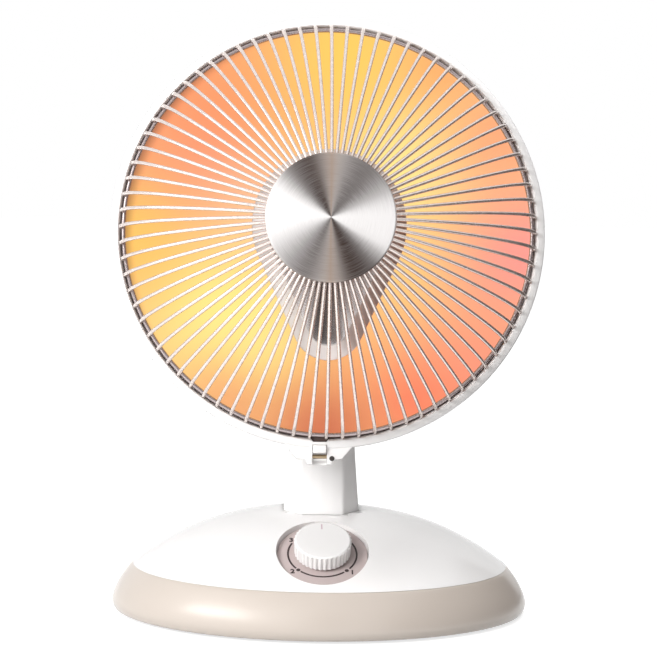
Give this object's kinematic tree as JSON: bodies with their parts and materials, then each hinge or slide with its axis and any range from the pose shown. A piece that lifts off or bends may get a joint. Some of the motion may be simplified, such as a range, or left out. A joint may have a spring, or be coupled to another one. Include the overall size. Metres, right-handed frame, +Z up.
{
  "type": "carbon heater",
  "caption": "Round carbon heater with a domed wire guard over a bright reflector dish, on a tilting joint, a tapered neck and a wide oval base with a rotary dial.",
  "frame": {"origin": "on the surface the feet stand on, under the middle of the whole heater's box", "axes": "+Z up, the front with the dial and the guard faces -Y, +X to the right of someone who looks at the front"},
  "size_m": [0.28, 0.235, 0.3937],
  "materials": {
    "gloss_white": "glossy moulded white",
    "warm_grey": "glossy warm grey",
    "dial_panel": "satin mauve grey, plain numbers",
    "black_plastic": "fine-grained black",
    "foot_rubber": "matte black",
    "zinc_steel": "zinc plated",
    "dark_steel": "dark painted steel",
    "chrome": "bright plated",
    "spun_steel": "circular brushed, bare",
    "glowing_dish": "bright dish lit orange by the lamp",
    "quartz": "clear fused quartz",
    "carbon_ribbon": "glowing carbon ribbon",
    "lamp_ceramic": "unglazed white"
  },
  "bodies": {
    "base": {"base_skirt": "warm_grey", "base_cover": "gloss_white", "bottom_plate": "black_plastic", "ballast_plate": "dark_steel", "foot_1": "foot_rubber", "foot_2": "foot_rubber", "foot_3": "foot_rubber", "foot_4": "foot_rubber", "plate_screw_1": "zinc_steel", "plate_screw_2": "zinc_steel", "plate_screw_3": "zinc_steel", "plate_screw_4": "zinc_steel", "dial_plate": "dial_panel", "selector_switch": "black_plastic", "neck_post": "zinc_steel", "post_bolt_1": "zinc_steel", "post_bolt_2": "zinc_steel", "neck_front": "gloss_white", "neck_rear": "gloss_white", "neck_screw_1": "zinc_steel", "neck_screw_2": "zinc_steel", "pivot_yoke": "dark_steel", "tilt_bolt": "zinc_steel", "tilt_nut": "zinc_steel", "tilt_washer_1": "black_plastic", "tilt_washer_2": "black_plastic", "cord_gland": "black_plastic", "tip_switch": "black_plastic"},
    "knob": {"dial_knob": "gloss_white", "switch_shaft": "zinc_steel"},
    "plunger": {"tip_plunger": "black_plastic"},
    "head": {"rear_housing": "gloss_white", "reflector": "glowing_dish", "shield": "chrome", "shield_post_1": "zinc_steel", "shield_post_2": "zinc_steel", "shield_post_3": "zinc_steel", "quartz_tube": "quartz", "carbon_filament": "carbon_ribbon", "lamp_cap_1": "lamp_ceramic", "lamp_cap_2": "lamp_ceramic", "lamp_bracket": "zinc_steel", "guard": "chrome", "guard_badge": "spun_steel", "badge_backplate": "zinc_steel", "badge_screw": "zinc_steel", "latch_pin": "dark_steel", "latch_screw": "dark_steel", "rear_cap": "gloss_white", "cap_screw_1": "zinc_steel", "cap_screw_2": "zinc_steel", "cap_screw_3": "zinc_steel", "head_arm": "dark_steel", "arm_screw_1": "zinc_steel", "arm_screw_2": "zinc_steel", "terminal_block": "lamp_ceramic", "thermal_cutout": "black_plastic"},
    "latch": {"guard_latch": "gloss_white"}
  },
  "joints": [
    {"name": "head_tilt", "type": "hinge", "parent": "base", "child": "head", "pos_m": [0, 0.01645, 0.188], "axis": [1, 0, 0], "range_deg": [-15, 20]},
    {"name": "knob_turn", "type": "hinge", "parent": "base", "child": "knob", "pos_m": [0, -0.04455, 0.05], "axis": [0, -0.4772, 0.8788], "range_deg": [-297, 0]},
    {"name": "plunger_press", "type": "slide", "parent": "base", "child": "plunger", "axis": [0, 0, 1], "range_m": [-0.005, 0], "stiffness_N_per_m": 150, "springref_m": -0.012},
    {"name": "latch_swing", "type": "hinge", "parent": "head", "child": "latch", "pos_m": [-0.0038, -0.07768, 0.11829], "axis": [1, 0, 0], "range_deg": [0, 70]}
  ]
}
